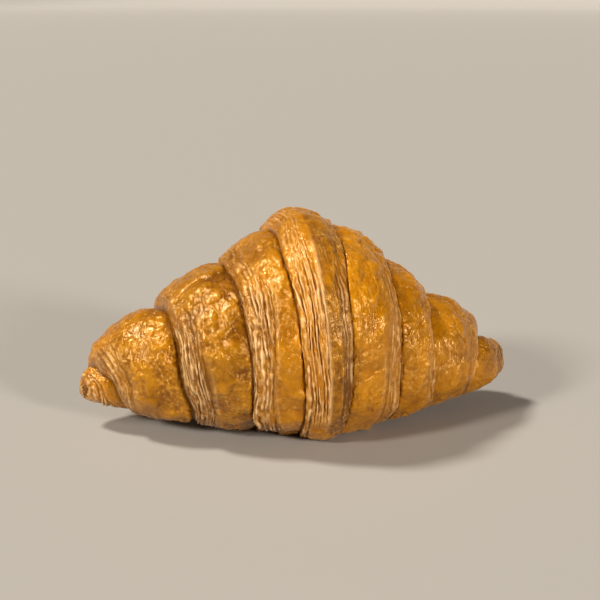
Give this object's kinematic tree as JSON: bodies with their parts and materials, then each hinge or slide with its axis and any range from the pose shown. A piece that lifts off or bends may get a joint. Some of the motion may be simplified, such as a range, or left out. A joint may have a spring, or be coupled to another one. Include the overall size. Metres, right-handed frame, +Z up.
{
  "type": "croissant",
  "caption": "Baked butter croissant: rolled layered dough in stepped bands with a tongue down the front and blunt tips, resting on a flat belly.",
  "frame": {"origin": "centre of the bounding box at the belly, on the surface it rests on", "axes": "+X along the roll from the coiled knob to the other tip, -Y to the front where the tongue comes down, +Z up"},
  "size_m": [0.172, 0.0942, 0.0833],
  "materials": {
    "baked_crust": "glossy"
  },
  "bodies": {
    "root": {"croissant": "baked_crust"}
  },
  "joints": []
}
